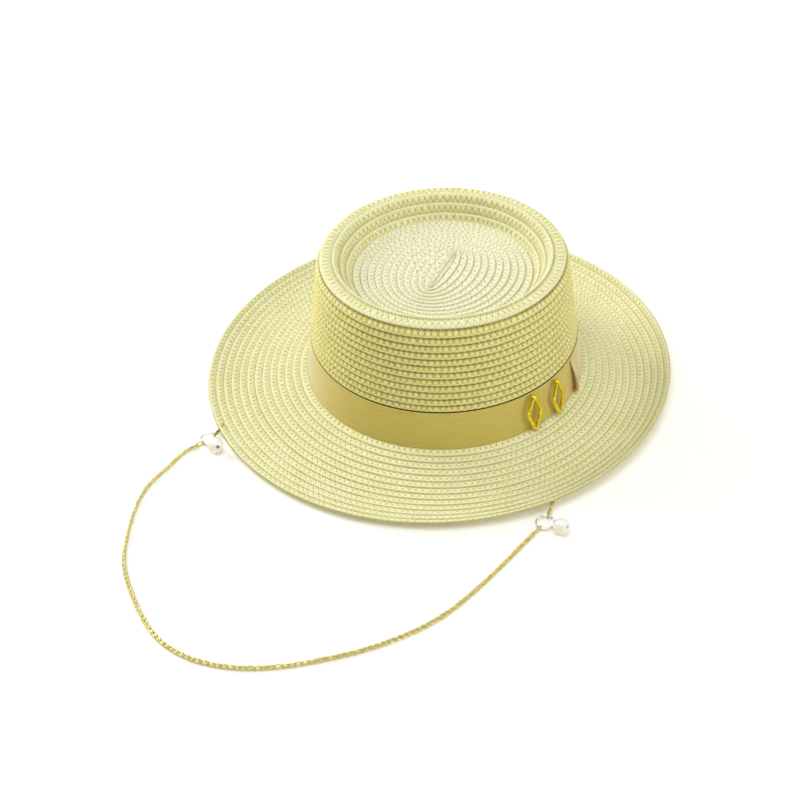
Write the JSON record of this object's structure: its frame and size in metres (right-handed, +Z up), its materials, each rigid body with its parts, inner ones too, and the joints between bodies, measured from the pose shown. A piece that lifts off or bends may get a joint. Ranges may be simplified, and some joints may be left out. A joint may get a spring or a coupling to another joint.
{
  "type": "straw boater hat",
  "caption": "Braided straw boater with a sunk tip, a flat curled brim, a satin ribbon band with gold ornaments and a loose gold chain chin strap with pearls.",
  "frame": {"origin": "on the surface that the hat rests on, under the middle of the crown, where the head goes in", "axes": "+Z up through the crown, the front of the hat faces -Y and the wearer's left is +X"},
  "size_m": [0.3096, 0.447, 0.0958],
  "materials": {
    "straw": "matte plaited paper straw",
    "ribbon": "smooth satin ribbon",
    "gold": "polished gold plate",
    "silver": "polished",
    "pearl": "pearly lustre"
  },
  "bodies": {
    "root": {"crown": "straw", "brim": "straw", "hat_band": "ribbon", "band_join": "ribbon", "ornament_front": "gold", "ornament_rear": "gold", "stub_left": "gold", "stub_right": "gold", "ring_left": "silver", "ring_right": "silver", "pearl_left": "pearl", "pearl_right": "pearl", "pearl_pin_left": "gold", "pearl_pin_right": "gold", "chain": "gold", "chain_end_left": "gold", "chain_end_right": "gold"}
  },
  "joints": []
}
